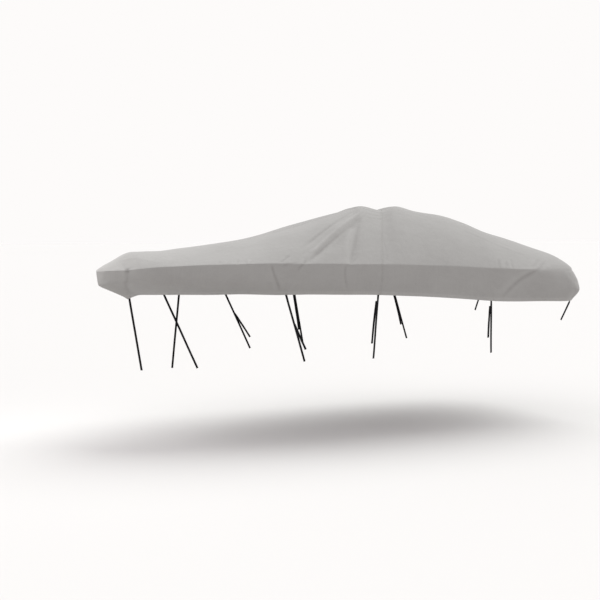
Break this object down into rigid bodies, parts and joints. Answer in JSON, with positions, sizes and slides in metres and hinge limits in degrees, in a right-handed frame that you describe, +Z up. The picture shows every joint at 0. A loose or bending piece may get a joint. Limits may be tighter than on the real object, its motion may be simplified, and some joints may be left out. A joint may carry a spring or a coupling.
{
  "type": "boat cover",
  "caption": "Fitted cloth cover for a V-hull runabout with a windshield: a peaked top, a skirt round the deck edge and webbing straps that pull the hem down to a trailer",
  "frame": {"origin": "the point just under the top, on the centre line, where the windshield of the boat holds the cloth up", "axes": "+X towards the stern, +Y towards starboard, +Z up"},
  "size_m": [5.8744, 2.4109, 1.9127],
  "materials": {
    "cloth": "matt coated woven polyester",
    "webbing": "woven webbing"
  },
  "bodies": {
    "root": {"bow_panel": "cloth", "stern_panel": "cloth", "strap_bow": "webbing", "strap_port_fore": "webbing", "strap_starboard_fore": "webbing", "strap_port_mid": "webbing", "strap_port_windshield": "webbing", "strap_port_aft": "webbing", "strap_port_stern": "webbing", "tail_port_mid": "webbing", "tail_port_windshield": "webbing", "tail_port_aft": "webbing", "strap_starboard_mid": "webbing", "strap_starboard_windshield": "webbing", "strap_starboard_aft": "webbing", "strap_starboard_stern": "webbing", "tail_starboard_mid": "webbing", "tail_starboard_windshield": "webbing", "tail_starboard_aft": "webbing"}
  },
  "joints": []
}
